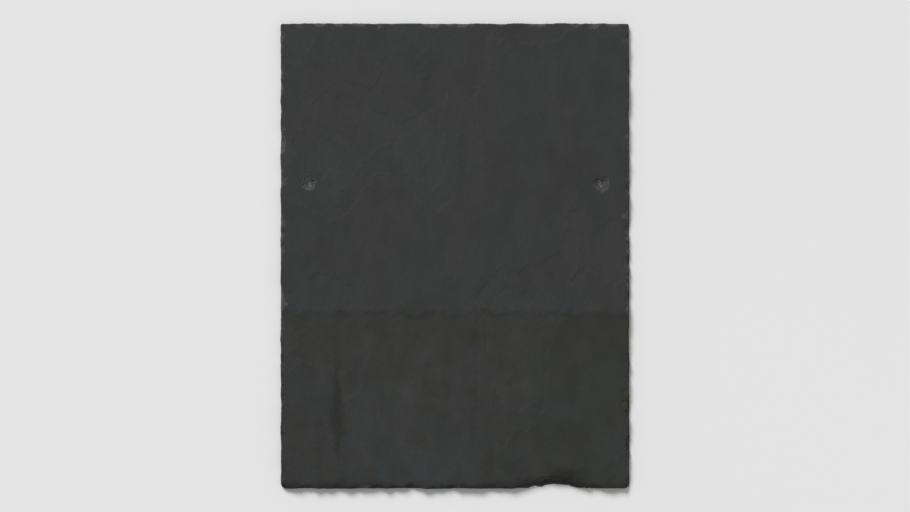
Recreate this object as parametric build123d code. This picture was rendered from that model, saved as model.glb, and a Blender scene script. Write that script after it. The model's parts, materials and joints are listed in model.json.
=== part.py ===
from build123d import *

import math
import os

# A natural roofing slate for a double-lap roof, lying on its back. All sizes are in millimetres.
# X runs across the slate, +Y towards its head and +Z out of its weathered face.
# The origin is under the middle of the slate, on the plane that it lies on.

slate_length = 400.0
slate_width = 300.0
slate_thickness = 6.5
tail_corner_radius = 4.5
head_corner_radius = 2.0

# The lap is how far a slate reaches under the one two courses above it.
head_lap = 100.0

# Two nail holes, struck from the back, so that each breaks out in a crater on the face.
nail_hole_diameter = 4.5
nail_side_margin = 25.0
nail_head_clearance = 12.0
crater_diameter = 14.0
crater_depth = 3.0

# The dressed edge is a row of shell-shaped flakes struck off the face's arris.
# The land is the strip of square edge that the flakes leave above the back.
flake_radius = 14.0
flake_reach = 4.2
flake_pitch = 12.0
edge_land = 2.2
unevenness = 0.75

# One larger flake has broken out of the tail since the slate was laid.
spall_width = 52.0
spall_depth_on_face = 7.5
spall_depth_on_back = 3.0
spall_offset = 84.0

gauge = (slate_length - head_lap) / 2
tail_y = -slate_length / 2
side_x = slate_width / 2
nail_y = tail_y + gauge + head_lap + nail_head_clearance
nail_x = side_x - nail_side_margin

golden_ratio = (1 + math.sqrt(5)) / 2


def scatter(index):
    """A number from -1 to 1 that jumps about evenly from one index to the next."""
    return 2 * ((index * golden_ratio) % 1) - 1


def outline():
    """The slate's rectangle, with its corners worn round."""
    sheet = Rectangle(slate_width, slate_length)
    sheet = fillet(sheet.vertices().group_by(Axis.Y)[-1], head_corner_radius)
    return fillet(sheet.vertices().group_by(Axis.Y)[0], tail_corner_radius)


def flake(edge_point, outward, reach, drop):
    """A round flake that bites `reach` into the face and `drop` down the edge."""
    chord = math.hypot(reach, drop)
    rise = math.sqrt(flake_radius**2 - (chord / 2) ** 2)
    out = rise * drop / chord - reach / 2
    up = rise * reach / chord - drop / 2
    centre = edge_point + outward * out + Vector(0, 0, slate_thickness + up)
    return Pos(centre) * Sphere(flake_radius)


def edge_flakes(sheet):
    """The flakes all round the outline, uneven in size and spacing."""
    rim = sheet.face().outer_wire()
    count = round(rim.length / flake_pitch)
    deepest = slate_thickness - edge_land
    flakes = []
    for index in range(count):
        along = (index + unevenness * scatter(2 * index) / 2) / count % 1
        size = 1 + unevenness * (scatter(index) - 1) / 2
        point = rim.position_at(along)
        tangent = rim.tangent_at(along)
        outward = Vector(tangent.Y, -tangent.X, 0)
        if outward.dot(point) < 0:
            outward = -outward
        flakes.append(flake(point, outward, flake_reach * size, deepest * size))
    return flakes


def tail_spall():
    """The broken place in the tail: one shallow round bite through the full thickness."""
    radius_on_face = (spall_width**2 / 4 + spall_depth_on_face**2) / (2 * spall_depth_on_face)
    out = radius_on_face - spall_depth_on_face
    radius_on_back = out + spall_depth_on_back
    up = (radius_on_face**2 - radius_on_back**2 - slate_thickness**2) / (2 * slate_thickness)
    centre = (spall_offset, tail_y - out, slate_thickness + up)
    return Pos(centre) * Sphere(math.hypot(radius_on_face, up))


def nail_hole(x):
    """A punched hole with the crater that the nail's head sits in."""
    bore = Cylinder(nail_hole_diameter / 2, slate_thickness, align=(Align.CENTER, Align.CENTER, Align.MIN))
    crater = Cone(
        nail_hole_diameter / 2,
        crater_diameter / 2,
        crater_depth,
        align=(Align.CENTER, Align.CENTER, Align.MAX),
    )
    return Pos(x, nail_y, 0) * (bore + Pos(0, 0, slate_thickness) * crater)


def slate():
    """The whole slate, as split, dressed, holed and weathered."""
    sheet = outline()
    body = extrude(sheet, slate_thickness)
    body -= edge_flakes(sheet)
    body -= tail_spall()
    body -= [nail_hole(x) for x in (-nail_x, nail_x)]
    return body


os.makedirs("parts", exist_ok=True)
export_step(slate().solid(), "parts/slate.step")
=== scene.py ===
"""A natural roof slate in plain studio light, seen square on with its tail towards the viewer.

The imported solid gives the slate's size, its place and its nail holes. This script carves the stone
that shows on it, the riven leaves, the flaked edges, the craters and the spalled tail, and gives it
its weathered finish. All lengths are in metres.
"""

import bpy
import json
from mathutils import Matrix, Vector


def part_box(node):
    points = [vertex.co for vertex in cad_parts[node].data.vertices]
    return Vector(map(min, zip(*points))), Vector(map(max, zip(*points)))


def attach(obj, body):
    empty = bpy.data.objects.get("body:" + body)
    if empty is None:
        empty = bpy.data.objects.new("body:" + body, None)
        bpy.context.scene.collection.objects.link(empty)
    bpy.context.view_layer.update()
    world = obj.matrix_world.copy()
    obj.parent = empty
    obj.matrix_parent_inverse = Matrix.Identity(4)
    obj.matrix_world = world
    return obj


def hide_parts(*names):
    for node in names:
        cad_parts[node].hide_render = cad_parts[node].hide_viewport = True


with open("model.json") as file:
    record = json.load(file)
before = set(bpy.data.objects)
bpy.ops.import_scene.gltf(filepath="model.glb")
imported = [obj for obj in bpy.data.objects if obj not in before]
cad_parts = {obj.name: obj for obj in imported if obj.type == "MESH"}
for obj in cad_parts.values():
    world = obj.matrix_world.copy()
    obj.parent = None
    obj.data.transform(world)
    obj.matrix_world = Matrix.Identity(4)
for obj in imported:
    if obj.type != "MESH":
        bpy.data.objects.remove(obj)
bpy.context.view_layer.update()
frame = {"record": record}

import cmath
import contextlib
import functools
import json
import logging
import math
from dataclasses import dataclass
from enum import Enum
from typing import Callable, Iterator, Optional, Sequence, Union

import bpy
import numpy as np
from mathutils import Vector, noise

log = logging.getLogger("slate")

GOLDEN_RATIO = (1 + math.sqrt(5)) / 2
TINY = 1e-9

# One step of a seed moves the noise this far, measured in its own features.
SEED_STEP = np.array((17.3, -9.1, 5.7))

# Each finer layer of the noise has features of half the size and half the strength.
LAYER_FADE, LAYER_RATIO = 1.0, 2.0


class Side(Enum):
    """The two cleft sides of a slate."""

    FACE = 1
    BACK = -1


class Tone(Enum):
    """The colours of the weathered stone, as linear red, green and blue."""

    BLUE_GREY = (0.0306, 0.0340, 0.0342)
    MID_GREY = (0.0311, 0.0318, 0.0309)
    BROWN_GREY = (0.0294, 0.0288, 0.0252)
    GREEN_GREY = (0.0272, 0.0310, 0.0268)
    COVERED_GREY = (0.0318, 0.0328, 0.0318)
    COVERED_BLUE = (0.0318, 0.0340, 0.0342)
    COVERED_GREEN = (0.0306, 0.0334, 0.0310)
    BROKEN_GREY = (0.0500, 0.0515, 0.0505)
    BROKEN_DIRTY = (0.0310, 0.0315, 0.0275)
    # Damp stains, and also the painted shade along the tail and the painted shadow in the spall.
    DAMP_DARK = (0.0130, 0.0135, 0.0110)
    BROWN_DIRT = (0.0240, 0.0225, 0.0170)
    OLIVE_GREY = (0.0290, 0.0300, 0.0240)
    ALGAE = (0.0215, 0.0270, 0.0180)
    LICHEN = (0.0750, 0.0760, 0.0520)


Setting = Union[float, Sequence[float], bpy.types.NodeSocket]
Colour = Union[Tone, Sequence[float], bpy.types.NodeSocket]


def scatter(index: float) -> float:
    """A number from -1 to 1 that jumps about evenly from one index to the next."""
    return 2 * ((index * GOLDEN_RATIO) % 1) - 1


def smooth_step(low: float, high: float, values: np.ndarray) -> np.ndarray:
    """Map values to a share that rises smoothly, from 0 at low to 1 at high."""
    share = np.clip((values - low) / (high - low), 0, 1)
    return share * share * (3 - 2 * share)


@dataclass(frozen=True)
class Cloud:
    """Smooth noise over the stone: its strength, the size of its features, its seed and its layers."""

    strength: float
    grain: tuple[float, ...]
    seed: float
    layers: int = 2

    def _plain(self, places: np.ndarray, turn: float) -> np.ndarray:
        """Work out the noise before it has its strength.

        Args:
            places: Points, one to a row, of two or three coordinates.
            turn: Added to the seed: another turn is another pattern.

        Returns:
            One value for each point, of about -1 to 1.
        """
        flat = np.zeros((len(places), 3))
        flat[:, : places.shape[1]] = places / np.asarray(self.grain)
        flat += SEED_STEP * (self.seed + turn)
        return np.array([noise.fractal(Vector(at), LAYER_FADE, LAYER_RATIO, self.layers) for at in flat])

    def over(self, places: np.ndarray, turn: float = 0.0) -> np.ndarray:
        """The noise at each place, of about -strength to strength, in the pattern of that turn."""
        return self.strength * self._plain(places, turn)

    def raised(self, places: np.ndarray, most: float = 1.5) -> np.ndarray:
        """The noise about half its strength, and never under 0 or over `most` times its strength."""
        return self.strength * np.clip(0.5 + self._plain(places, 0.0), 0, most)

    def shift(self, places: np.ndarray) -> np.ndarray:
        """The noise along X beside another turn of it along Y, one pair for each place."""
        return np.stack([self.over(places, turn) for turn in (0, 1)], axis=1)


def clear_bench() -> None:
    """Deselect every object, and leave none active."""
    bpy.ops.object.select_all(action="DESELECT")
    bpy.context.view_layer.objects.active = None


@dataclass(frozen=True)
class Workpiece:
    """A mesh object in work, and the hand moves that shape it: picking by place, and edit mode."""

    piece: bpy.types.Object

    def take(self) -> None:
        """Make the piece the only object selected, and the active one."""
        clear_bench()
        self.piece.select_set(True)
        bpy.context.view_layer.objects.active = self.piece

    @contextlib.contextmanager
    def editing(self) -> Iterator[None]:
        """Hold the piece in edit mode, picking faces, for as long as the block runs."""
        self.take()
        bpy.ops.object.mode_set(mode="EDIT")
        bpy.ops.mesh.select_mode(type="FACE")
        try:
            yield
        finally:
            bpy.ops.object.mode_set(mode="OBJECT")

    def read(self, group: str, name: str, width: int = 3) -> np.ndarray:
        """Read one property of all the vertices or polygons.

        Args:
            group: "vertices" or "polygons".
            name: The property's name.
            width: How many numbers it has.

        Returns:
            One row for each of them.
        """
        items = getattr(self.piece.data, group)
        values = np.empty(len(items) * width)
        items.foreach_get(name, values)
        return values.reshape(-1, width)

    def pick(self, chosen: np.ndarray) -> None:
        """Select the faces that are marked True, and nothing else.

        Args:
            chosen: True or False for each face.
        """
        with self.editing():
            bpy.ops.mesh.select_all(action="DESELECT")
        self.piece.data.polygons.foreach_set("select", chosen)

    def finer(self, chosen: np.ndarray) -> None:
        """Halve the marked faces each way, with triangles where the fine part ends.

        Args:
            chosen: True or False for each face.
        """
        self.pick(chosen)
        with self.editing():
            bpy.ops.mesh.subdivide(number_cuts=1, ngon=False)

    def move_points(self, places: np.ndarray) -> None:
        """Put the vertices at new places, one to a row."""
        self.piece.data.vertices.foreach_set("co", places.ravel())
        self.piece.data.update()

    def mark(self, name: str, values: np.ndarray) -> None:
        """Write a number on each vertex, for the finish to read by name."""
        attribute = self.piece.data.attributes.new(name, "FLOAT", "POINT")
        attribute.data.foreach_set("value", values.astype(np.float32))


@dataclass
class Outline:
    """The slate's rectangle, its corners worn round, walked from its head down the left side."""

    width: float
    length: float
    tail_radius: float = 0.0045
    head_radius: float = 0.0020

    @property
    def half(self) -> np.ndarray:
        """Half the width and half the length."""
        return np.array((self.width, self.length)) / 2

    @property
    def _radii(self) -> tuple[float, ...]:
        """The corners' radii, in the order of the walk."""
        return (self.tail_radius, self.tail_radius, self.head_radius, self.head_radius)

    @property
    def perimeter(self) -> float:
        """The length of the whole walk."""
        return 2 * (self.width + self.length) - (2 - math.pi / 2) * sum(self._radii)

    def walk(self, along: float) -> tuple[complex, complex]:
        """Find a place on the outline.

        Args:
            along: How far round, as a share of the perimeter.

        Returns:
            The place and the way out of the slate there, as complex numbers of X and Y.
        """
        corner = complex(-self.width, self.length) / 2
        heading, left, last = -1j, along % 1 * self.perimeter, self._radii[-1]
        for index, radius in enumerate(self._radii):
            side = self.width if index % 2 else self.length
            straight = side - last - radius
            if left < straight:
                return corner + heading * (last + left), heading * -1j
            left -= straight
            corner += heading * side
            if left < radius * math.pi / 2:
                outward = heading * cmath.exp(1j * left / radius) * -1j
                return corner + heading * radius * (1j - 1) + outward * radius, outward
            left -= radius * math.pi / 2
            heading, last = heading * 1j, radius
        return corner + heading * last, heading * -1j

    def inside(self, places: np.ndarray) -> np.ndarray:
        """How far each place lies inside the nearest straight side."""
        return (self.half - np.abs(places[:, :2])).min(axis=1)

    def wear_corners(self, places: np.ndarray) -> np.ndarray:
        """Draw the points of each square corner in on to its arc.

        Args:
            places: Points of X and Y, one to a row.

        Returns:
            The same points, with those in the corners moved.
        """
        radius = np.where(places[:, 1] < 0, self.tail_radius, self.head_radius)
        centre = self.half - radius[:, None]
        beyond = np.abs(places) - centre
        corner = (beyond > 0).all(axis=1)
        reach = np.hypot(beyond[:, 0], beyond[:, 1])
        share = np.where(corner, beyond.max(axis=1) / np.maximum(reach, TINY), 1.0)
        worn = np.where(corner[:, None], centre + beyond * share[:, None], np.abs(places))
        return np.sign(places) * worn


@dataclass
class Cleavage:
    """How this stone splits: its swells and ripples, its lost leaves, and the planes it breaks on.

    A leaf is gone where the leaf and fray clouds, and its loss near the rim, add up to over its level.
    """

    thickness: float
    outline: Outline
    swell: Cloud = Cloud(0.00016, (0.060, 0.110), 4.0)
    ripple: Cloud = Cloud(0.00005, (0.011, 0.032), 5.0)
    leaf: Cloud = Cloud(1.0, (0.080, 0.150), 3.0)
    fray: Cloud = Cloud(0.08, (0.009, 0.015), 3.5, 3)
    back_turn: float = 5.0
    leaf_levels: tuple[float, ...] = (0.17, 0.42, 0.66)
    leaf_steps: tuple[float, ...] = (0.00022, 0.00019, 0.00016)
    leaf_riser: float = 0.0006
    least_slope: float = 1.0
    rim_loss: float = 0.16
    rim_reach: float = 0.030
    plane_pitch: float = 0.0010
    plane_unevenness: float = 0.45
    ledge_fray: Cloud = Cloud(0.0006, (0.004, 0.004), 21.0)
    ledge_drift: Cloud = Cloud(0.0005, (0.013, 0.013), 22.0)
    ledge: float = 0.55
    sloped: float = 0.30

    def __post_init__(self) -> None:
        """Lay out the planes that a break follows, from under the back to over the face."""
        count = round(self.thickness / self.plane_pitch) + 2
        gaps = [self.plane_pitch * (1 + self.plane_unevenness * scatter(index)) for index in range(count)]
        self.planes = np.cumsum([-self.plane_pitch, *gaps])

    def _turn(self, side: Side) -> float:
        """Which turn of the clouds a side has."""
        return 0.0 if side is Side.FACE else self.back_turn

    def _leaf_field(self, places: np.ndarray, side: Side) -> np.ndarray:
        """Work out the field whose contours are the torn edges.

        Args:
            places: Points of X and Y, one to a row.
            side: Which side of the slate they are on.

        Returns:
            One value for each point.
        """
        turn = self._turn(side)
        rim = 1 - smooth_step(0, self.rim_reach, self.outline.inside(places))
        return self.leaf.over(places, turn) + self.fray.over(places, turn) + self.rim_loss * rim

    def torn_edges(self, places: np.ndarray, side: Side) -> np.ndarray:
        """How far inside each leaf's torn edge the points are.

        Args:
            places: Points of X and Y, one to a row.
            side: Which side of the slate they are on.

        Returns:
            One row for each leaf, of about the distances to its edge, above 0 where it is gone.
        """
        here = self._leaf_field(places, side)
        aside = [self._leaf_field(places + step, side) - here for step in np.eye(2) * self.leaf_riser]
        slope = np.maximum(np.hypot(*aside) / self.leaf_riser, self.least_slope)
        return np.array([(here - level) / slope for level in self.leaf_levels])

    def relief(self, places: np.ndarray, side: Side) -> np.ndarray:
        """How much stone is gone from a side that was split flat.

        Args:
            places: Points of X and Y, one to a row.
            side: Which side of the slate they are on.

        Returns:
            Depths below the plane of the highest place, never under 0.
        """
        turn = self._turn(side)
        depth = self.swell.over(places, turn) + self.ripple.over(places, turn)
        for step, inside in zip(self.leaf_steps, self.torn_edges(places, side)):
            depth += step * smooth_step(0, self.leaf_riser, inside)
        return depth + self.swell.strength + self.ripple.strength

    def part(self, heights: np.ndarray, places: np.ndarray) -> np.ndarray:
        """Turn a smooth broken slope into the ragged ledges that it breaks in.

        Args:
            heights: Heights of the smooth break.
            places: The points of X and Y that they belong to.

        Returns:
            The stepped heights.
        """
        ragged = heights + self.ledge_fray.over(places) + self.ledge_drift.over(places)
        upper = np.clip(np.searchsorted(self.planes, ragged), 1, len(self.planes) - 1)
        low, gap = self.planes[upper - 1], self.planes[upper] - self.planes[upper - 1]
        stepped = low + gap * smooth_step(self.ledge, 1.0, (ragged - low) / gap)
        return self.sloped * heights + (1 - self.sloped) * stepped


@dataclass(frozen=True)
class Flake:
    """One shell-shaped scar, part of a ball whose centre stands over the edge of the face."""

    centre: complex
    height: float
    radius: float
    top: float

    def floor(self, places: np.ndarray) -> np.ndarray:
        """The height of the scar's floor over each place, and infinity outside it."""
        across, up_slope = places[:, 0] - self.centre.real, places[:, 1] - self.centre.imag
        spread = self.radius**2 - across**2 - up_slope**2
        return np.where(spread > 0, self.height - np.sqrt(np.maximum(spread, 0)), np.inf)

    def beyond(self, places: np.ndarray) -> np.ndarray:
        """How far each place is outside the scar on the face, and below 0 in it."""
        away = np.hypot(places[:, 0] - self.centre.real, places[:, 1] - self.centre.imag)
        return away - math.sqrt(self.radius**2 - (self.height - self.top) ** 2)


@dataclass(frozen=True)
class FlakeRow:
    """One row of flakes struck along the outline, uneven in size and spacing."""

    pitch: float
    radius: float
    reach: float
    drop: float
    unevenness: float
    phase: int = 0

    def flakes(self, outline: Outline, top: float) -> Iterator[Flake]:
        """Walk the outline, one flake after another.

        Args:
            outline: The slate's outline.
            top: The arris's height.

        Yields:
            Each flake.
        """
        count = round(outline.perimeter / self.pitch)
        for index in range(count):
            along = (index + self.unevenness * scatter(2 * index + self.phase) / 2) / count
            size = 1 + self.unevenness * (scatter(index + self.phase) - 1) / 2
            reach, drop = self.reach * size, self.drop * size
            chord = math.hypot(reach, drop)
            rise = math.sqrt(self.radius**2 - (chord / 2) ** 2)
            place, outward = outline.walk(along)
            centre = place + outward * (rise * drop / chord - reach / 2)
            yield Flake(centre, top + rise * reach / chord - drop / 2, self.radius, top)


@dataclass
class EdgeFlakes:
    """The dressed edge: full shells, small chips and thin peels struck off the face's arris."""

    outline: Outline
    thickness: float
    land: float = 0.0022
    band: float = 0.014
    ragged: Cloud = Cloud(0.0009, (0.0035, 0.0035), 51.0)
    drift: Cloud = Cloud(0.0028, (0.026, 0.026), 53.0)

    def __post_init__(self) -> None:
        """Strike the row of shells, down to the land, the row of chips and the row of peels."""
        deepest = self.thickness - self.land
        rows = (
            FlakeRow(pitch=0.0120, radius=0.0140, reach=0.0042, drop=deepest, unevenness=0.75),
            FlakeRow(pitch=0.0045, radius=0.0050, reach=0.0018, drop=0.0018, unevenness=0.9, phase=7),
            FlakeRow(pitch=0.0290, radius=0.0260, reach=0.0080, drop=0.0008, unevenness=0.8, phase=3),
        )
        self.flakes = [flake for row in rows for flake in row.flakes(self.outline, self.thickness)]

    def _least(self, places: np.ndarray, measure: Callable[[Flake, np.ndarray], np.ndarray]) -> np.ndarray:
        """The least that any flake measures at each place.

        Args:
            places: Points of X and Y, one to a row.
            measure: What to ask of each flake: Flake.floor or Flake.beyond.

        Returns:
            One number for each point, and infinity away from the edge.
        """
        least = np.full(len(places), np.inf)
        near = self.outline.inside(places) < self.band
        struck = places[near] + self.ragged.shift(places[near]) + self.drift.shift(places[near])
        least[near] = functools.reduce(np.minimum, (measure(flake, struck) for flake in self.flakes))
        return least

    def heights(self, places: np.ndarray) -> np.ndarray:
        """The height of the dressed slope over each place, and infinity where no flake reaches."""
        return self._least(places, Flake.floor)

    def beyond(self, places: np.ndarray) -> np.ndarray:
        """How far each place is outside the nearest scar on the face, and below 0 in it."""
        return self._least(places, Flake.beyond)


@dataclass
class TailSpall:
    """The one larger flake that has broken out of the tail, through the full thickness."""

    tail: float
    thickness: float
    width: float = 0.052
    depth_on_face: float = 0.0075
    depth_on_back: float = 0.0030
    offset: float = 0.084
    feather: float = 0.0005
    peak: float = 1.05
    skirt: float = 1.20
    ragged: Cloud = Cloud(0.0014, (0.009, 0.009), 61.0, 3)
    ragged_foot: Cloud = Cloud(0.0014, (0.009, 0.009), 61.0, 4)
    peel_width: float = 0.046
    peel_reach: float = 0.0120
    peel_drop: float = 0.0008
    peel_slope: float = 0.0030

    def __post_init__(self) -> None:
        """Find the round bite that has the three stated sizes."""
        on_face = (self.width**2 / 4 + self.depth_on_face**2) / (2 * self.depth_on_face)
        self.out = on_face - self.depth_on_face
        on_back = self.out + self.depth_on_back
        self.up = (on_face**2 - on_back**2 - self.thickness**2) / (2 * self.thickness)
        self.radius = math.hypot(on_face, self.up)

    def _across(self, places: np.ndarray) -> np.ndarray:
        """How far each X is from the bite's middle, drawn so that the bite comes to a blunt peak."""
        half = self.width / 2
        return half * (np.abs(places - self.offset) / (half * self.skirt)) ** self.peak

    def heights(self, places: np.ndarray) -> np.ndarray:
        """The height of the bite's floor over each place, and infinity outside it.

        Args:
            places: Points of X and Y, one to a row.

        Returns:
            One height for each point.
        """
        ragged = self.ragged.over(places)
        up_slope = places[:, 1] + ragged - (self.tail - self.out)
        spread = self.radius**2 - self._across(places[:, 0]) ** 2 - up_slope**2
        floor = self.thickness + self.up - np.sqrt(np.maximum(spread, 0))
        inside = -self.beyond(places) - ragged
        peel = self.thickness - self.peel_drop * smooth_step(0, self.peel_slope, inside)
        return np.minimum(np.where(spread > 0, floor, np.inf), np.where(inside > 0, peel, np.inf))

    def beyond(self, places: np.ndarray) -> np.ndarray:
        """How far each place is outside the thin peel that came off round the bite, and below 0 in it."""
        from_middle = (places - (self.offset, self.tail)) / (self.peel_width / 2, self.peel_reach)
        return (np.hypot(*from_middle.T) - 1) * self.peel_reach

    def bite(self, across: np.ndarray) -> np.ndarray:
        """How far the tail's edge is broken back, along its length.

        Args:
            across: X of each point of the edge.

        Returns:
            Distances from the tail's line, never under 0.
        """
        level = self.thickness + self.up - self.feather
        edge = np.column_stack((across, np.full(len(across), self.tail)))
        spread = self.radius**2 - level**2 - self._across(across) ** 2
        return np.maximum(np.sqrt(np.maximum(spread, 0)) - self.out - self.ragged_foot.over(edge), 0)


@dataclass
class NailHoles:
    """The two holes punched from the back, each with its ragged crater on the face."""

    centres: tuple[tuple[float, float], ...]
    radius: float
    thickness: float
    crater_radius: float = 0.0070
    crater_depth: float = 0.0032
    crater_curve: float = 0.8
    ragged: Cloud = Cloud(0.35, (0.006, 0.006), 31.0)
    rough: Cloud = Cloud(0.0003, (0.0016, 0.0016, 0.0012), 33.0)
    corners: int = 32
    rings: int = 8

    @classmethod
    def from_record(cls, record: dict, thickness: float) -> "NailHoles":
        """Take the holes' places and size from the record's nail pattern.

        Args:
            record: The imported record.
            thickness: The slate's thickness.

        Returns:
            The two holes.
        """
        mount = next(entry for entry in record["mounts"] if entry["kind"] == "bolt_pattern")
        across, up_slope, _ = mount["pos_m"]
        half = mount["dims"]["spacing_x_mm"] / 2000
        places = tuple((across + side * half, up_slope) for side in (-1, 1))
        return cls(places, mount["dims"]["hole_r_mm"] / 1000, thickness)

    def distance(self, places: np.ndarray) -> np.ndarray:
        """How far each place is from the nearest hole's centre."""
        return np.min([np.hypot(*(places - centre).T) for centre in self.centres], axis=0)

    def _reach(self, places: np.ndarray) -> np.ndarray:
        """How far from a hole's centre its crater reaches, in the direction of each place."""
        return self.crater_radius * (1 + self.ragged.over(places))

    def heights(self, places: np.ndarray) -> np.ndarray:
        """The height of the craters' floor over each place, and infinity outside them.

        Args:
            places: Points of X and Y, one to a row.

        Returns:
            One height for each point.
        """
        share = self.distance(places) / self._reach(places)
        floor = self.thickness - self.crater_depth * np.clip(1 - share, 0, 1) ** self.crater_curve
        return np.where(share < 1, floor, np.inf)

    def beyond(self, places: np.ndarray) -> np.ndarray:
        """How far each place is outside the nearest crater, and below 0 in it."""
        return self.distance(places) - self._reach(places)

    def _bit(self, centre: tuple[float, float]) -> bpy.types.Object:
        """Make the rough round bit that one hole is cut with.

        Args:
            centre: X and Y of the hole's centre.

        Returns:
            The bit, at the origin, with its place in its mesh.
        """
        clear_bench()
        bpy.ops.mesh.primitive_cylinder_add(
            vertices=self.corners,
            radius=self.radius,
            depth=self.thickness * 2,
            location=(*centre, self.thickness / 2),
        )
        bit = Workpiece(bpy.context.object)
        bpy.ops.object.transform_apply(location=True, rotation=True, scale=True)
        for ring in range(self.rings + 1):
            with bit.editing():
                bpy.ops.mesh.select_all(action="SELECT")
                bpy.ops.mesh.bisect(plane_co=(0, 0, self.thickness * ring / self.rings), plane_no=(0, 0, 1))
        places = bit.read("vertices", "co")
        worn = 1 + self.rough.raised(places, 1.0) / self.radius
        places[:, :2] = centre + (places[:, :2] - centre) * worn[:, None]
        bit.move_points(places)
        return bit.piece

    def punch(self, work: Workpiece) -> None:
        """Cut the holes right through a piece.

        Args:
            work: The carved slate.
        """
        for centre in self.centres:
            bit = self._bit(centre)
            work.take()
            cut = work.piece.modifiers.new("nail_hole", "BOOLEAN")
            cut.operation, cut.solver, cut.object = "DIFFERENCE", "MANIFOLD", bit
            bpy.ops.object.modifier_apply(modifier=cut.name)
            bpy.data.objects.remove(bit)
        with work.editing():
            bpy.ops.mesh.select_all(action="DESELECT")
            bpy.ops.mesh.select_face_by_sides(number=4, type="GREATER")
            bpy.ops.mesh.quads_convert_to_tris(quad_method="BEAUTY", ngon_method="BEAUTY")


@dataclass(frozen=True)
class Fineness:
    """How finely one side is divided: its largest and its torn edges' faces, and how far fine parts reach."""

    side: Side
    largest: float
    torn: float
    rim_reach: float
    hole_reach: float
    spall_reach: float


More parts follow.
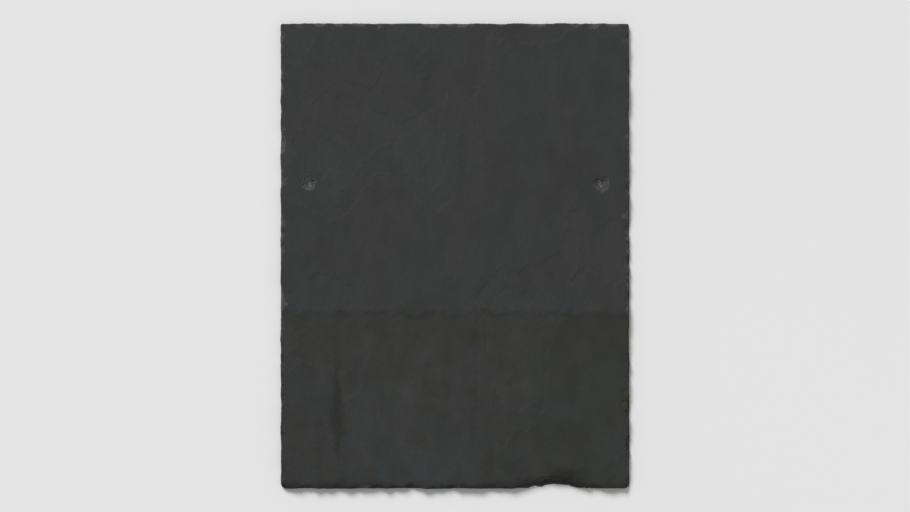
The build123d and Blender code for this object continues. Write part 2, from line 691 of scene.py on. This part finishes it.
@dataclass
class RivenSlate:
    """The whole slate: a sheet of stone, split, dressed, holed and worn."""

    low: Vector
    high: Vector
    cell: float = 0.005
    rounds: int = 4
    divide_under: float = 0.75
    edge_cell: float = 0.0006
    hole_cell: float = 0.0003
    grading: float = 0.90
    fineness: tuple[Fineness, ...] = (
        Fineness(Side.FACE, 0.0025, 0.0006, 0.0010, 0.0030, 0.0010),
        Fineness(Side.BACK, 0.0050, 0.0014, 0.0003, 0.0020, -0.0120),
    )
    wobble: Cloud = Cloud(0.0008, (0.018, 0.018, 0.004), 41.0, 3)
    lamina: Cloud = Cloud(0.00035, (0.006, 0.006, 0.0007), 42.0)
    wobble_fade: float = 0.014
    bite_fade: float = 3.0
    jitter: Cloud = Cloud(0.00036, (0.0007, 0.0007, 0.0007), 71.0, 1)
    touching: float = 1e-6
    rub_from: float = 0.0009
    rub_area: float = 1.2e-6
    rub_facing: float = 0.1
    rub_strength: float = 0.5
    rubs: int = 2
    broken_from: tuple[float, float] = (0.00005, 0.00030)
    edge_from: tuple[float, float] = (0.0003, 0.0008)
    off_back: tuple[float, float] = (0.0001, 0.0004)
    crease: float = 24.0

    def __post_init__(self) -> None:
        """Work out the slate's features from its box."""
        self.width, self.length, self.thickness = self.high - self.low
        self.outline = Outline(self.width, self.length)
        self.cleavage = Cleavage(self.thickness, self.outline)
        self.flakes = EdgeFlakes(self.outline, self.thickness)
        self.spall = TailSpall(self.low.y, self.thickness)
        self.holes = NailHoles.from_record(frame["record"], self.thickness)

    def build(self) -> bpy.types.Object:
        """Make the slate's mesh.

        Returns:
            The finished piece, at the origin, unturned and unscaled.
        """
        self._split_sheet()
        self._divide()
        self._carve()
        self._rub()
        self.holes.punch(self.work)
        self._mark()
        self.work.take()
        bpy.ops.object.shade_smooth_by_angle(angle=math.radians(self.crease))
        return self.work.piece

    def _split_sheet(self) -> None:
        """Lay a flat grid on the face's plane and extrude it down to the back's, as a closed sheet."""
        clear_bench()
        bpy.ops.mesh.primitive_grid_add(
            x_subdivisions=round(self.width / self.cell),
            y_subdivisions=round(self.length / self.cell),
            size=1,
            location=(0, 0, self.thickness),
        )
        piece = bpy.context.object
        piece.name = piece.data.name = "riven_slate"
        piece.scale = (self.width, self.length, 1)
        bpy.ops.object.transform_apply(location=True, rotation=True, scale=True)
        self.work = Workpiece(piece)
        with self.work.editing():
            bpy.ops.mesh.select_all(action="SELECT")
            bpy.ops.mesh.extrude_region_move(TRANSFORM_OT_translate={"value": (0, 0, -self.thickness)})
            bpy.ops.mesh.select_all(action="SELECT")
            bpy.ops.mesh.normals_make_consistent(inside=False)

    def _wanted(self, places: np.ndarray, normals: np.ndarray) -> np.ndarray:
        """The size of face that each place needs: fine at the edges of things, coarse elsewhere.

        Args:
            places: The faces' centres.
            normals: Their normals.

        Returns:
            One length for each face.
        """
        half_riser = self.cleavage.leaf_riser / 2
        wanted = np.full(len(places), self.edge_cell)
        for fine in self.fineness:
            here = normals[:, 2] * fine.side.value > 0.5
            flat = places[here, :2]
            torn = np.abs(self.cleavage.torn_edges(flat, fine.side) - half_riser).min(axis=0)
            near = [
                (self.edge_cell, self.outline.inside(flat) - fine.rim_reach),
                (self.edge_cell, self.spall.beyond(flat) - fine.spall_reach),
                (self.hole_cell, self.holes.distance(flat) - fine.hole_reach),
                (fine.torn, torn - half_riser),
            ]
            if fine.side is Side.FACE:
                near.append((self.edge_cell, self.flakes.beyond(flat)))
                near.append((self.hole_cell, self.holes.beyond(flat)))
            sizes = [finest + self.grading * np.maximum(away, 0) for finest, away in near]
            wanted[here] = np.minimum(np.min(sizes, axis=0), fine.largest)
        return wanted

    def _divide(self) -> None:
        """Halve the sheet's faces again and again where they are larger than they need to be."""
        for level in range(self.rounds):
            wanted = self._wanted(self.work.read("polygons", "center"), self.work.read("polygons", "normal"))
            self.work.finer(wanted < self.cell / 2**level * self.divide_under)

    def _shaken(self, places: np.ndarray) -> np.ndarray:
        """Shake the points a little off their grid, within the outline, and wear the corners round.

        Args:
            places: The sheet's points before any is moved.

        Returns:
            Their new X and Y.
        """
        flat, half = places[:, :2], self.outline.half
        on_rim = np.abs(flat) > half - self.touching
        shaken = np.clip(flat + self.jitter.shift(places), -half, half)
        return self.outline.wear_corners(np.where(on_rim, flat, shaken))

    def _edge_shift(self, places: np.ndarray, flat: np.ndarray) -> np.ndarray:
        """Draw the points near the outline in, where the dressing left it uneven.

        Args:
            places: The sheet's points before any is moved.
            flat: Their X and Y, with the corners worn.

        Returns:
            The new X and Y.
        """
        drawn = self.wobble.raised(places) + self.lamina.raised(places)
        fade = 1 - smooth_step(0, self.wobble_fade, self.outline.half - np.abs(places[:, :2]))
        moved = flat - np.sign(places[:, :2]) * fade * drawn[:, None]
        above_tail = (places[:, 1] - self.low.y) / (self.bite_fade * self.spall.depth_on_face)
        moved[:, 1] += self.spall.bite(flat[:, 0]) * np.clip(1 - above_tail, 0, 1)
        return moved

    def _tops(self, flat: np.ndarray) -> tuple[np.ndarray, np.ndarray]:
        """The riven face over each point, and the same with its broken places.

        Args:
            flat: Points of X and Y, one to a row.

        Returns:
            Heights of the face as split, and as worn.
        """
        stone = self.thickness - self.cleavage.relief(flat, Side.FACE)
        struck = np.min([scar.heights(flat) for scar in (self.flakes, self.spall, self.holes)], axis=0)
        broken = np.isfinite(struck)
        struck[broken] = self.cleavage.part(struck[broken], flat[broken])
        return stone, np.maximum(np.minimum(stone, struck), self.spall.feather)

    def _carve(self) -> None:
        """Move every point of the flat sheet to its place on the worn stone."""
        places = self.work.read("vertices", "co")
        flat = self._edge_shift(places, self._shaken(places))
        share = places[:, 2] / self.thickness
        _, top = self._tops(flat)
        bottom = self.cleavage.relief(flat, Side.BACK)
        top += self.thickness - top.max()
        self.back_low = bottom.min()
        bottom = np.minimum(bottom - self.back_low, top - self.spall.feather / 2)
        self.work.move_points(np.column_stack((flat, share * top + (1 - share) * bottom)))

    def _rub(self) -> None:
        """Rub the finest teeth off the face's broken ledges, up and down only."""
        small = self.work.read("polygons", "area", 1)[:, 0] < self.rub_area
        inner = self.outline.inside(self.work.read("polygons", "center")) > self.rub_from
        upward = self.work.read("polygons", "normal")[:, 2] > self.rub_facing
        self.work.pick(small & inner & upward)
        with self.work.editing():
            bpy.ops.mesh.vertices_smooth(factor=self.rub_strength, repeat=self.rubs, xaxis=False, yaxis=False)

    def _mark(self) -> None:
        """Write on each point whether it is broken stone, and how many leaves are gone over it."""
        places = self.work.read("vertices", "co")
        flat, heights = places[:, :2], places[:, 2]
        stone, top = self._tops(flat)
        over_back = heights - self.cleavage.relief(flat, Side.BACK) + self.back_low
        broken = smooth_step(*self.broken_from, stone - top)
        edge = smooth_step(*self.edge_from, top - heights)
        self.work.mark("broken", np.maximum(broken, edge) * smooth_step(*self.off_back, over_back))
        upper = heights > self.thickness / 3
        gone = np.where(upper, *(self.cleavage.torn_edges(flat, side) for side in Side))
        self.work.mark("leaf", (gone > self.cleavage.leaf_riser / 2).sum(axis=0) / len(gone))


@dataclass(frozen=True)
class Band:
    """A smooth change across a band of values: start at its low end, and end at its high end."""

    low: float
    high: float
    start: float = 0.0
    end: float = 1.0


@dataclass(frozen=True)
class Pattern:
    """Soft noise in a finish: the size of its features, its seed, and the band that it goes through."""

    grain: tuple[float, float, float]
    seed: float
    band: Band = Band(0.0, 1.0)
    detail: float = 3.0
    rough: float = 0.55


class Recipe:
    """Wires up the nodes of one material, whose patterns all lie in the slate's own space."""

    def __init__(self, name: str) -> None:
        """Start an empty material.

        Args:
            name: The material's name.
        """
        self.material = bpy.data.materials.new(name)
        self.material.use_nodes = True
        self.tree = self.material.node_tree
        self.tree.nodes.clear()
        self.place = self.tree.nodes.new("ShaderNodeTexCoord").outputs["Object"]
        self.x, self.y, self.z = self.add("ShaderNodeSeparateXYZ", {0: self.place}).outputs

    def add(self, kind: str, inputs: dict[Union[int, str], Setting], **settings: object) -> bpy.types.Node:
        """Add a node.

        Args:
            kind: The node's type.
            inputs: What goes into its sockets: a value to set, or a socket to link.
            **settings: The node's own properties.

        Returns:
            The new node.
        """
        node = self.tree.nodes.new(kind)
        for key, value in settings.items():
            setattr(node, key, value)
        for key, value in inputs.items():
            if isinstance(value, bpy.types.NodeSocket):
                self.tree.links.new(value, node.inputs[key])
            else:
                node.inputs[key].default_value = value
        return node

    def calc(self, operation: str, first: Setting, second: Setting = 0.0) -> bpy.types.NodeSocket:
        """One sum of two numbers or sockets."""
        return self.add("ShaderNodeMath", {0: first, 1: second}, operation=operation).outputs[0]

    def total(self, *terms: Setting) -> bpy.types.NodeSocket:
        """All the terms added together."""
        return functools.reduce(functools.partial(self.calc, "ADD"), terms)

    def product(self, *factors: Setting) -> bpy.types.NodeSocket:
        """All the factors multiplied together."""
        return functools.reduce(functools.partial(self.calc, "MULTIPLY"), factors)

    def off(self, value: Setting, line: float, wander: Setting = 0.0) -> bpy.types.NodeSocket:
        """How far a value is from a line that wanders, on either side of it."""
        return self.calc("ABSOLUTE", self.total(value, -line, wander))

    def ramp(self, value: Setting, band: Band, origin: float = 0.0) -> bpy.types.NodeSocket:
        """Take a value smoothly through a band, whose ends are measured from the origin."""
        ends = (origin + band.low, origin + band.high, band.start, band.end)
        inputs = dict(enumerate((value, *ends)))
        return self.add("ShaderNodeMapRange", inputs, interpolation_type="SMOOTHSTEP").outputs[0]

    def noise(self, pattern: Pattern) -> bpy.types.NodeSocket:
        """Lay out a pattern's noise before it goes through its band.

        Args:
            pattern: The pattern.

        Returns:
            The socket of its noise, from 0 to 1.
        """
        scale, shift = [1 / length for length in pattern.grain], pattern.seed
        mapping = {"Vector": self.place, "Scale": scale, "Location": (shift, -shift, shift)}
        spread = self.add("ShaderNodeMapping", mapping).outputs[0]
        inputs = {"Vector": spread, "Scale": 1.0, "Detail": pattern.detail, "Roughness": pattern.rough}
        return self.add("ShaderNodeTexNoise", inputs).outputs["Fac"]

    def spread(self, pattern: Pattern) -> bpy.types.NodeSocket:
        """A pattern's noise, taken through its band."""
        return self.ramp(self.noise(pattern), pattern.band)

    def mark(self, name: str) -> bpy.types.NodeSocket:
        """A number that the piece's own points carry."""
        return self.add("ShaderNodeAttribute", {}, attribute_name=name).outputs["Fac"]

    def shade(self, colour: Setting, factor: Setting) -> bpy.types.NodeSocket:
        """A colour made darker or lighter by a factor."""
        return self.add("ShaderNodeVectorMath", {0: colour, "Scale": factor}, operation="SCALE").outputs[0]

    def layer(self, below: Colour, above: Colour, share: Setting) -> bpy.types.NodeSocket:
        """Lay one colour over another, as much of it as the share from 0 to 1."""
        below, above = ((*tone.value, 1.0) if isinstance(tone, Tone) else tone for tone in (below, above))
        return self.add("ShaderNodeMix", {0: share, 6: below, 7: above}, data_type="RGBA").outputs[2]

    def stack(self, colour: Colour, *layers: tuple[Colour, Setting]) -> bpy.types.NodeSocket:
        """Lay colours one after another.

        Args:
            colour: The lowest colour.
            *layers: Each colour over it, and its share.

        Returns:
            The mixed colour's socket.
        """
        for above, share in layers:
            colour = self.layer(colour, above, share)
        return colour

    def finish(
        self, colour: Setting, roughness: Setting, sheen: float, bump: Optional[bpy.types.NodeSocket] = None
    ) -> bpy.types.Material:
        """End in one plain surface shader.

        Args:
            colour: Base colour.
            roughness: Roughness.
            sheen: Specular level, the same all over.
            bump: A bumped normal, or none.

        Returns:
            The finished material.
        """
        inputs = {"Base Color": colour, "Roughness": roughness, "Specular IOR Level": sheen}
        if bump is not None:
            inputs["Normal"] = bump
        shader = self.add("ShaderNodeBsdfPrincipled", inputs)
        self.add("ShaderNodeOutputMaterial", {"Surface": shader.outputs[0]})
        return self.material


@dataclass(frozen=True)
class Streak:
    """A stain that water left: a dark line that swells near its foot and ends in green."""

    x: float = -0.101
    low: float = 0.022
    high: float = 0.140
    half_width: float = 0.0050
    strength: float = 0.75
    swollen_at: float = 0.34
    swollen: float = 2.0
    swell_reach: float = 0.022
    edge: Band = Band(0.10, 1.0, 1.0, 0.0)
    foot: Band = Band(0.0, 0.020)
    top_strength: float = 0.35
    wander: Pattern = Pattern((0.006, 0.016, 0.02), 17.0, Band(0.2, 0.8, -0.0018, 0.0018))
    patchy: Pattern = Pattern((0.004, 0.012, 0.004), 18.0, Band(0.3, 0.7, 0.55, 1.0))
    green: float = 0.50
    green_foot: Band = Band(0.0, 0.012)
    green_top: Band = Band(-0.020, 0.0, 1.0, 0.0)


@dataclass(frozen=True)
class Spot:
    """A soft ragged mark on the margin, at a height above the tail; the dark ones at the spall are painted
    shadow.
    """

    x: float
    height: float
    radius: float
    rise: float
    tone: Tone
    strength: float

    def fringe(self, seed: float) -> Pattern:
        """The pattern that frays the mark's rim."""
        return Pattern((self.radius * 0.8,) * 3, seed, Band(0.2, 0.8, -self.radius / 2, self.radius / 2))


@dataclass(frozen=True)
class Weathering:
    """The looks of dark grey slate that has lain on a roof, bare to the rain on its margin."""

    tail: float
    lap_line: float
    half_width: float

    sheen: float = 0.20
    polish: Pattern = Pattern((0.0018, 0.0030, 0.0018), 4.0, Band(0.25, 0.75, 0.69, 0.76), 2.0)

    # Where the margin is: below the lap line, and off the back.
    lap_wander: Pattern = Pattern((0.014, 0.010, 0.02), 11.0, Band(0.2, 0.8, -0.006, 0.006))
    lap_edge: Band = Band(-0.006, 0.004, 1.0, 0.0)
    off_back: Band = Band(0.0012, 0.0024)

    # The stone's own patches, as they are where no rain reached.
    covered_blue: Pattern = Pattern((0.055, 0.085, 0.05), 1.0, Band(0.40, 0.60))
    covered_green: Pattern = Pattern((0.030, 0.050, 0.03), 9.0, Band(0.48, 0.66, 0.0, 0.8))

    # The weathered colour, from the tail, from the lap line and as shares of the half width.
    drift: Pattern = Pattern((0.040, 0.040, 0.04), 3.0, Band(0.25, 0.75, -0.030, 0.030))
    patch: Pattern = Pattern((0.022, 0.030, 0.02), 5.0, Band(0.42, 0.58))
    blue_low: Band = Band(0.040, 0.110, 1.0, 0.25)
    right: tuple[float, float] = (0.10, 0.65)
    green_right: float = 0.80
    olive: Pattern = Pattern((0.017, 0.017, 0.02), 7.0, Band(0.52, 0.62, 0.0, 0.55))
    brown: Pattern = Pattern((0.034, 0.026, 0.03), 8.0, Band(0.46, 0.60, 0.0, 0.80))
    brown_high: Band = Band(-0.070, -0.015)
    brown_right: float = 0.75
    under_lap: Band = Band(-0.034, -0.004, 0.0, 0.80)
    light_line: float = -0.035
    lighter: Band = Band(0.025, 0.070, 1.05, 0.98)

    # What the rain left: broad run-off, a line of dirt along the lap, and the dark band along the tail, damp
    # at the drip edge and partly painted shade.
    runs: Pattern = Pattern((0.014, 0.110, 0.02), 14.0, Band(0.48, 0.75, 0.0, 0.13))
    line_wander: Pattern = Pattern((0.018, 0.018, 0.018), 15.0, Band(0.2, 0.8, -0.003, 0.003))
    lap_dirt: Pattern = Pattern((0.012, 0.006, 0.012), 16.0, Band(0.35, 0.65, 0.08, 0.42))
    dirt_line: Band = Band(0.0, 0.005, 1.0, 0.0)
    drip_damp_and_shade: Band = Band(0.0, 0.0090, 0.75, 0.0)
    streak: Streak = Streak()
    spots: tuple[Spot, ...] = (
        Spot(-0.042, 0.083, 0.0060, 0.0060, Tone.LICHEN, 0.10),
        Spot(-0.041, 0.090, 0.0150, 0.0150, Tone.LICHEN, 0.05),
        Spot(-0.120, 0.055, 0.0200, 0.0090, Tone.BROWN_DIRT, 0.70),
        Spot(-0.023, 0.108, 0.0055, 0.0055, Tone.DAMP_DARK, 0.25),
        Spot(0.045, 0.092, 0.0080, 0.0055, Tone.BROWN_DIRT, 0.70),
        # The next two dark spots are painted shadow in and round the spall at the tail; the third darkens the
        # tail's middle.
        Spot(0.085, 0.007, 0.0320, 0.0160, Tone.DAMP_DARK, 0.90),
        Spot(0.063, 0.004, 0.0160, 0.0095, Tone.DAMP_DARK, 0.55),
        Spot(0.002, 0.000, 0.0140, 0.0080, Tone.DAMP_DARK, 0.35),
        Spot(-0.137, 0.096, 0.0190, 0.0260, Tone.BLUE_GREY, 0.80),
        Spot(0.096, 0.065, 0.0240, 0.0150, Tone.BLUE_GREY, 0.80),
        Spot(0.139, 0.034, 0.0150, 0.0220, Tone.BLUE_GREY, 0.90),
        Spot(-0.062, 0.100, 0.0180, 0.0220, Tone.OLIVE_GREY, 0.50),
        Spot(0.017, 0.134, 0.0240, 0.0150, Tone.OLIVE_GREY, 0.90),
    )
    first_fringe: float = 19.0

    # Broken stone, banded by its leaves and mossy along the margin.
    leaf_bands: Pattern = Pattern((0.020, 0.020, 0.0006), 23.0, Band(0.35, 0.65, 0.82, 1.16), 2.0)
    crumb_tone: Pattern = Pattern((0.0012, 0.0012, 0.0012), 24.0, Band(0.3, 0.7, 0.86, 1.14), 2.0)
    moss: Pattern = Pattern((0.009, 0.009, 0.003), 25.0, Band(0.52, 0.66, 0.0, 0.7))

    # How light the stone is, leaf by leaf and down to its single grains.
    leaf_tone: Band = Band(0.0, 1.0, 1.0, 1.10)
    fine_tones: tuple[Pattern, ...] = (
        Pattern((0.016, 0.026, 0.016), 20.0, Band(0.25, 0.75, 0.92, 1.08)),
        Pattern((0.0016, 0.0034, 0.0016), 21.0, Band(0.25, 0.75, 0.94, 1.06)),
        Pattern((0.0022, 0.0030, 0.0022), 22.0, Band(0.70, 0.80, 1.0, 0.72), 1.0),
        Pattern((0.0005, 0.0009, 0.0005), 29.0, Band(0.30, 0.70, 0.91, 1.09), 1.0),
    )

    # The relief too fine for the mesh. Each height is that of its whole noise.
    calm: Pattern = Pattern((0.050, 0.070, 0.05), 28.0, Band(0.35, 0.65, 0.25, 1.0), 2.0)
    ripples: Pattern = Pattern((0.0075, 0.0260, 0.01), 26.0, detail=5.0, rough=0.62)
    ripple_height: float = 0.00026
    grains: Pattern = Pattern((0.0008, 0.0014, 0.0008), 2.0, rough=0.6)
    grain_height: float = 0.00007
    leaves: Pattern = Pattern((0.009, 0.009, 0.00045), 6.0, rough=0.6)
    leaf_height: float = 0.00040
    crumbs: Pattern = Pattern((0.0010, 0.0010, 0.0010), 27.0, detail=2.0)
    crumb_height: float = 0.00022

    @classmethod
    def laid(cls, low: Vector, high: Vector, head_lap: float = 0.100) -> "Weathering":
        """Weather a slate as it lies on a roof, its head so far under the slate two courses up."""
        margin = (high.y - low.y - head_lap) / 2
        return cls(low.y, low.y + margin, (high.x - low.x) / 2)


class WeatheredStone(Recipe):
    """The stone's material, laid one colour over another."""

    def __init__(self, looks: Weathering) -> None:
        """Start the material, and find where the stone is off its back, bare and broken.

        Args:
            looks: The stone's finish.
        """
        super().__init__("weathered_slate")
        self.looks = looks
        self.off_back = self.ramp(self.z, looks.off_back)
        height = self.total(self.y, self.spread(looks.lap_wander))
        self.margin = self.product(self.ramp(height, looks.lap_edge, looks.lap_line), self.off_back)
        self.broken = self.mark("broken")

    def mix(self) -> bpy.types.Material:
        """Lay all the colours, and give them their grain.

        Returns:
            The finished material, in the slate's own space.
        """
        looks = self.looks
        colour = self.stack(
            Tone.COVERED_GREY,
            (Tone.COVERED_BLUE, self.spread(looks.covered_blue)),
            (Tone.COVERED_GREEN, self.spread(looks.covered_green)),
            (self._margin_tone(), self.margin),
            *self._rain(),
            *self._streak(),
            (self._broken_tone(), self.broken),
            *self._spots(),
        )
        leaf = self.ramp(self.mark("leaf"), looks.leaf_tone)
        fine = self.product(leaf, *(self.spread(pattern) for pattern in looks.fine_tones))
        return self.finish(self.shade(colour, fine), self.spread(looks.polish), looks.sheen, self._texture())

    def _margin_tone(self) -> bpy.types.NodeSocket:
        """The weathered colour: blue-green low on the left, green to the right, brown under the lap.

        Returns:
            Its socket.
        """
        looks = self.looks
        drift = self.spread(looks.drift)
        aside, height = self.total(self.x, drift), self.total(self.y, drift)
        blue = self.product(self.ramp(height, looks.blue_low, looks.tail), self.spread(looks.patch))
        right = self.ramp(aside, Band(*(looks.half_width * share for share in looks.right)))
        brown_high = self.ramp(height, looks.brown_high, looks.lap_line)
        brown = self.calc("MAXIMUM", brown_high, self.product(right, looks.brown_right))
        colour = self.stack(
            Tone.MID_GREY,
            (Tone.BLUE_GREY, blue),
            (Tone.GREEN_GREY, self.product(right, looks.green_right)),
            (Tone.OLIVE_GREY, self.spread(looks.olive)),
            (Tone.BROWN_GREY, self.product(self.spread(looks.brown), brown)),
            (Tone.BROWN_GREY, self.ramp(height, looks.under_lap, looks.lap_line)),
        )
        return self.shade(colour, self.ramp(self.off(aside, looks.light_line), looks.lighter))

    def _rain(self) -> Iterator[tuple[Tone, bpy.types.NodeSocket]]:
        """Broad faint run-off down the margin, the line of dirt along the lap, and the dark band along the
        tail, partly damp and partly painted shade.

        Yields:
            Each stain's tone and its share.
        """
        looks = self.looks
        yield Tone.DAMP_DARK, self.product(self.spread(looks.runs), self.margin)
        wander = self.spread(looks.line_wander)
        line = self.ramp(self.off(self.y, looks.lap_line, wander), looks.dirt_line)
        yield Tone.DAMP_DARK, self.product(line, self.spread(looks.lap_dirt), self.off_back)
        above_tail = self.total(self.y, -looks.tail, wander)
        # Dark band along the tail: damp at the drip edge, and painted shade in place of the tail's shadow
        # line.
        yield Tone.DAMP_DARK, self.product(self.ramp(above_tail, looks.drip_damp_and_shade), self.margin)

    def _streak(self) -> Iterator[tuple[Tone, bpy.types.NodeSocket]]:
        """The one dark streak, and the green that it ends in.

        Yields:
            Each one's tone and its share.
        """
        mark, tail = self.looks.streak, self.looks.tail
        low, high = tail + mark.low, tail + mark.high
        middle = low + (high - low) * mark.swollen_at
        swell = Band(0.0, mark.swell_reach, mark.half_width * mark.swollen, mark.half_width)
        width = self.ramp(self.off(self.y, middle), swell)
        aside = self.off(self.x, mark.x, self.spread(mark.wander))
        body = self.product(self.ramp(self.calc("DIVIDE", aside, width), mark.edge), self.margin)
        foot = self.ramp(self.y, mark.foot, low)
        top = self.ramp(self.y, Band(middle, high, 1.0, mark.top_strength))
        yield Tone.DAMP_DARK, self.product(body, foot, top, self.spread(mark.patchy), mark.strength)
        green_foot = self.ramp(self.y, mark.green_foot, low)
        green_top = self.ramp(self.y, mark.green_top, middle)
        yield Tone.ALGAE, self.product(body, green_foot, green_top, mark.green)

    def _spots(self) -> Iterator[tuple[Tone, bpy.types.NodeSocket]]:
        """The few ragged spots and soft patches, pale, blue, olive, brown and dark; the dark ones in and
        round the spall are painted shadow.

        Yields:
            Each one's tone and its share.
        """
        for index, spot in enumerate(self.looks.spots):
            stretch = (1, spot.radius / spot.rise, 0)
            level = self.add("ShaderNodeVectorMath", {0: self.place, 1: stretch}, operation="MULTIPLY")
            centre = (spot.x, (self.looks.tail + spot.height) * stretch[1], 0)
            ends = {0: level.outputs[0], 1: centre}
            away = self.add("ShaderNodeVectorMath", ends, operation="DISTANCE").outputs["Value"]
            ragged = self.total(away, self.spread(spot.fringe(self.looks.first_fringe + index)))
            mark = self.ramp(ragged, Band(0.0, spot.radius, spot.strength, 0.0))
            yield spot.tone, self.product(mark, self.margin)

    def _broken_tone(self) -> bpy.types.NodeSocket:
        """The colour of broken stone: paler where it stayed covered, dirty along the margin.

        Returns:
            Its socket.
        """
        looks = self.looks
        moss = self.product(self.spread(looks.moss), self.margin)
        stone = self.stack(Tone.BROKEN_GREY, (Tone.BROKEN_DIRTY, self.margin), (Tone.ALGAE, moss))
        return self.shade(stone, self.product(self.spread(looks.leaf_bands), self.spread(looks.crumb_tone)))

    def _texture(self) -> bpy.types.NodeSocket:
        """The riven stone's ripples and grain, and the thin leaves on its broken edges.

        Returns:
            The bumped normal's socket.
        """
        looks = self.looks
        ripples = self.product(self.noise(looks.ripples), self.spread(looks.calm), looks.ripple_height)
        grains = self.product(self.noise(looks.grains), looks.grain_height)
        leaves = self.product(self.noise(looks.leaves), self.broken, looks.leaf_height)
        crumbs = self.product(self.noise(looks.crumbs), self.broken, looks.crumb_height)
        bump = {"Height": self.total(ripples, grains, leaves, crumbs), "Distance": 1.0, "Strength": 1.0}
        return self.add("ShaderNodeBump", bump).outputs[0]


@dataclass(frozen=True)
class PaleFloor:
    """Plain matt pale grey, a little uneven in tone."""

    tone: float = 0.78
    darker: float = 0.985
    cloudy: Pattern = Pattern((0.8, 0.8, 0.8), 3.0, Band(0.3, 0.7), 1.0)
    roughness: float = 0.9
    sheen: float = 0.1

    def material(self) -> bpy.types.Material:
        """Make the floor's material.

        Returns:
            The material.
        """
        recipe = Recipe("pale_floor")
        light, dark = ((tone, tone, tone, 1.0) for tone in (self.tone, self.tone * self.darker))
        colour = recipe.layer(light, dark, recipe.spread(self.cloudy))
        return recipe.finish(colour, self.roughness, self.sheen)


@dataclass
class Studio:
    """The floor, the soft light and the camera, which looks straight down on the slate."""

    centre: Vector
    slate_length: float
    aspect: float = 910 / 512
    lens: float = 90.0
    sensor: float = 36.0
    headroom: float = 1.10
    sky: float = 0.42
    key_share: float = 0.58
    key_breadth: float = 26.0
    key_height: float = 38.0
    key_turn: float = -24.0
    floor_size: float = 24.0

    def build(self) -> None:
        """Set up the floor, the lamps, the world and the camera."""
        self._floor()
        self._key()
        self._world()
        self._camera()
        bpy.context.scene.view_settings.view_transform = "Standard"

    def _floor(self) -> None:
        """Lay the pale floor that the slate lies on."""
        clear_bench()
        bpy.ops.mesh.primitive_plane_add(size=self.floor_size, location=(0, 0, 0))
        floor = bpy.context.object
        floor.name = "floor"
        floor.data.materials.append(PaleFloor().material())

    def _key(self) -> None:
        """Shine one broad soft light from beyond the slate's head."""
        up, turn = math.radians(self.key_height), math.radians(self.key_turn)
        back = Vector((math.sin(turn) * math.cos(up), math.cos(turn) * math.cos(up), math.sin(up)))
        data = bpy.data.lights.new("key", "SUN")
        data.angle = math.radians(self.key_breadth)
        data.energy = self.key_share * math.pi / math.sin(up)
        lamp = bpy.data.objects.new("key", data)
        lamp.rotation_euler = (-back).to_track_quat("-Z", "Y").to_euler()
        bpy.context.scene.collection.objects.link(lamp)

    def _world(self) -> None:
        """Give an even white light from all round, and a pale background behind the floor."""
        world = bpy.data.worlds.new("studio")
        world.use_nodes = True
        nodes, links = world.node_tree.nodes, world.node_tree.links
        path = nodes.new("ShaderNodeLightPath")
        strength = nodes.new("ShaderNodeMapRange")
        strength.inputs["To Min"].default_value = self.sky
        strength.inputs["To Max"].default_value = PaleFloor().tone
        links.new(path.outputs["Is Camera Ray"], strength.inputs["Value"])
        shade = nodes["Background"]
        shade.inputs["Color"].default_value = (1, 1, 1, 1)
        links.new(strength.outputs[0], shade.inputs["Strength"])
        bpy.context.scene.world = world

    def _camera(self) -> None:
        """Hang the camera over the slate, its tail towards the bottom of the picture."""
        data = bpy.data.cameras.new("camera")
        data.lens, data.sensor_width = self.lens, self.sensor
        camera = bpy.data.objects.new("camera", data)
        across = self.slate_length * self.headroom * self.aspect
        camera.location = self.centre + Vector((0, 0, across * self.lens / self.sensor))
        bpy.context.scene.collection.objects.link(camera)
        bpy.context.scene.camera = camera


def main() -> None:
    """Build the slate, give it its finish and light it."""
    logging.basicConfig(level=logging.INFO, format="%(name)s: %(message)s")
    slate = RivenSlate(*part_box("slate"))
    piece = slate.build()
    stone = WeatheredStone(Weathering.laid(slate.low, slate.high))
    piece.data.materials.clear()
    piece.data.materials.append(stone.mix())
    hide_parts("slate")
    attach(piece, "root")
    log.info("%s: %d faces", piece.name, len(piece.data.polygons))
    Studio((slate.low + slate.high) / 2, slate.length).build()


if __name__ == "__main__":
    main()
